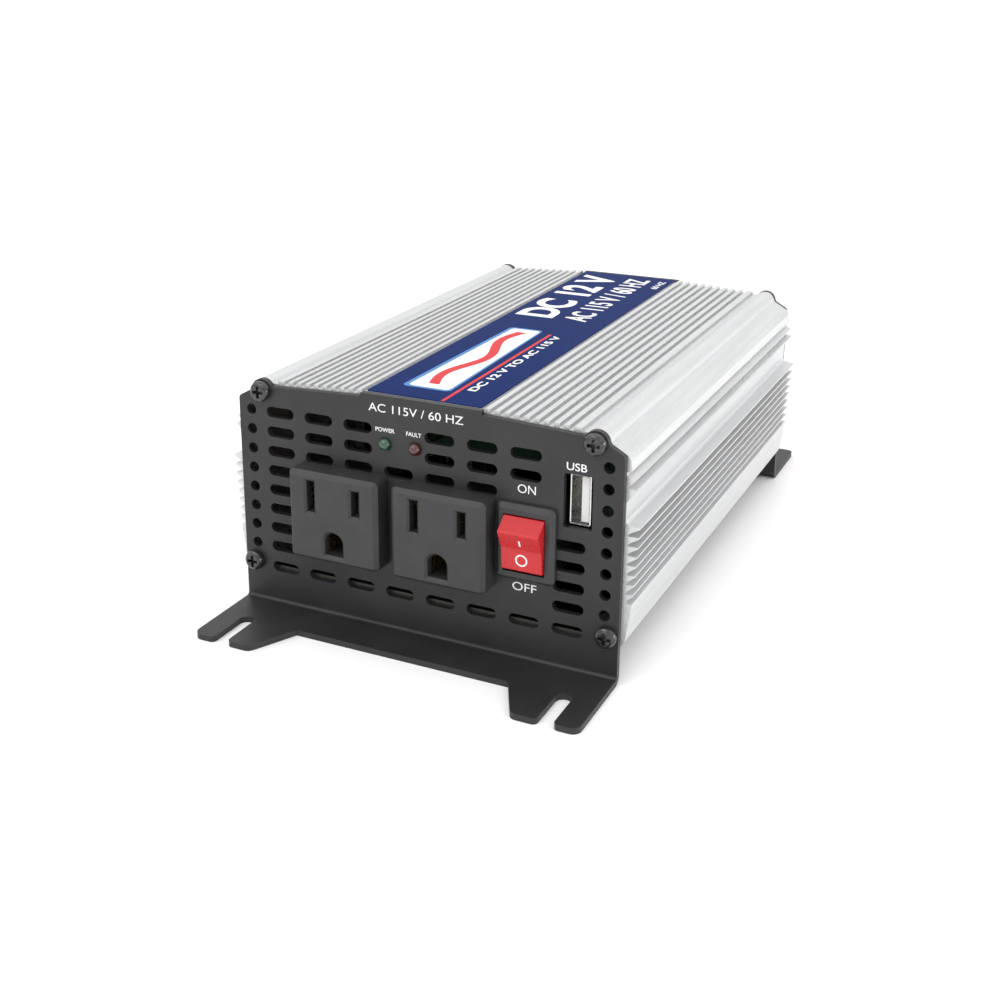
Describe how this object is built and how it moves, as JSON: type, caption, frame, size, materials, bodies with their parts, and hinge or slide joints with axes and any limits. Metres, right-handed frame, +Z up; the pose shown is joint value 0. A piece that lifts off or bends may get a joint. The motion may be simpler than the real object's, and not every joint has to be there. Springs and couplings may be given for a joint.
{
  "type": "power inverter",
  "caption": "Small power inverter: finned aluminium housing between bent steel end plates with slotted feet, mains outlets, rocker switch, USB outlet, fan and battery terminals.",
  "frame": {"origin": "middle of the footprint, on the surface that the feet stand on", "axes": "+X to the right when facing the outlet plate, +Y from the outlet plate to the battery plate, +Z up"},
  "size_m": [0.111, 0.2004, 0.0633],
  "materials": {
    "anodised_aluminium": "satin silver anodised extrusion",
    "mill_aluminium": "dull dark conversion coat",
    "black_painted_steel": "semi-matt black powder coat",
    "black_steel_screw": "black oxide",
    "printed_label": "printed film",
    "black_plastic": "moulded",
    "contact_brass": "bright",
    "red_rocker_plastic": "moulded",
    "steel_bright": "bright zinc or nickel",
    "white_plastic": "moulded",
    "green_circuit_board": "solder mask",
    "green_lamp": "diffused lens",
    "red_lamp": "diffused lens",
    "standoff_brass": "turned",
    "dark_ferrite": "sintered ferrite",
    "winding_copper": "enamelled copper",
    "yellow_tape": "polyester tape",
    "capacitor_sleeve": "shrunk sleeve",
    "transistor_epoxy": "moulded epoxy",
    "grey_silicone": "silicone pad",
    "red_plastic": "moulded",
    "terminal_black_plastic": "moulded"
  },
  "bodies": {
    "inverter": {"black_post_base": "terminal_black_plastic", "black_post_strap": "winding_copper", "black_post_stud": "contact_brass", "board_screws": "steel_bright", "board_standoffs": "standoff_brass", "bottom_plate": "mill_aluminium", "bus_capacitor_inner": "capacitor_sleeve", "bus_capacitor_outer": "capacitor_sleeve", "choke_core": "dark_ferrite", "choke_winding": "winding_copper", "clamp_screws": "steel_bright", "fan_frame": "black_plastic", "fan_guard": "steel_bright", "fan_screws": "black_steel_screw", "fault_lamp": "red_lamp", "front_plate": "black_painted_steel", "front_plate_screws": "black_steel_screw", "ground_screw": "steel_bright", "housing_extrusion": "anodised_aluminium", "indicator_board": "green_circuit_board", "input_capacitor_inner": "capacitor_sleeve", "input_capacitor_outer": "capacitor_sleeve", "left_clamp_bar": "mill_aluminium", "left_ground_contact": "contact_brass", "left_hot_contact": "contact_brass", "left_insulating_pad": "grey_silicone", "left_neutral_contact": "contact_brass", "left_receptacle": "black_plastic", "left_transistors": "transistor_epoxy", "main_board": "green_circuit_board", "post_nuts": "steel_bright", "power_lamp": "green_lamp", "rear_plate": "black_painted_steel", "rear_plate_screws": "black_steel_screw", "red_post_base": "red_plastic", "red_post_strap": "winding_copper", "red_post_stud": "contact_brass", "right_clamp_bar": "mill_aluminium", "right_ground_contact": "contact_brass", "right_hot_contact": "contact_brass", "right_insulating_pad": "grey_silicone", "right_neutral_contact": "contact_brass", "right_receptacle": "black_plastic", "right_transistors": "transistor_epoxy", "switch_body": "black_plastic", "switch_line_terminal": "contact_brass", "switch_load_terminal": "contact_brass", "top_label": "printed_label", "transformer_bobbin": "black_plastic", "transformer_core": "dark_ferrite", "transformer_winding": "yellow_tape", "usb_contacts": "contact_brass", "usb_shell": "steel_bright", "usb_tongue": "white_plastic"},
    "switch_rocker": {"switch_rocker": "red_rocker_plastic"},
    "fan_rotor": {"fan_rotor": "black_plastic"},
    "red_post_washer": {"red_post_washer": "steel_bright"},
    "red_post_knob": {"red_post_knob": "red_plastic"},
    "black_post_washer": {"black_post_washer": "steel_bright"},
    "black_post_knob": {"black_post_knob": "terminal_black_plastic"}
  },
  "joints": [
    {"name": "rocker_hinge", "type": "hinge", "parent": "inverter", "child": "switch_rocker", "pos_m": [0.0284, -0.0756, 0.0322], "axis": [-1, 0, 0], "range_deg": [0, 30]},
    {"name": "fan_spin", "type": "hinge", "parent": "inverter", "child": "fan_rotor", "pos_m": [-0.022, 0.0695, 0.036], "axis": [0, 1, 0], "continuous": true},
    {"name": "red_washer_travel", "type": "slide", "parent": "inverter", "child": "red_post_washer", "axis": [0, 1, 0], "range_m": [0, 0.004]},
    {"name": "red_knob_turn", "type": "hinge", "parent": "red_post_washer", "child": "red_post_knob", "pos_m": [0.038, 0.0842, 0.036], "axis": [0, -1, 0], "range_deg": [0, 1440]},
    {"name": "black_washer_travel", "type": "slide", "parent": "inverter", "child": "black_post_washer", "axis": [0, 1, 0], "range_m": [0, 0.004]},
    {"name": "black_knob_turn", "type": "hinge", "parent": "black_post_washer", "child": "black_post_knob", "pos_m": [0.0135, 0.0842, 0.036], "axis": [0, -1, 0], "range_deg": [0, 1440]}
  ],
  "couplings": [
    {"joint": "red_washer_travel", "follows": "red_knob_turn", "m_per_rad": 0.00015915},
    {"joint": "black_washer_travel", "follows": "black_knob_turn", "m_per_rad": 0.00015915}
  ]
}
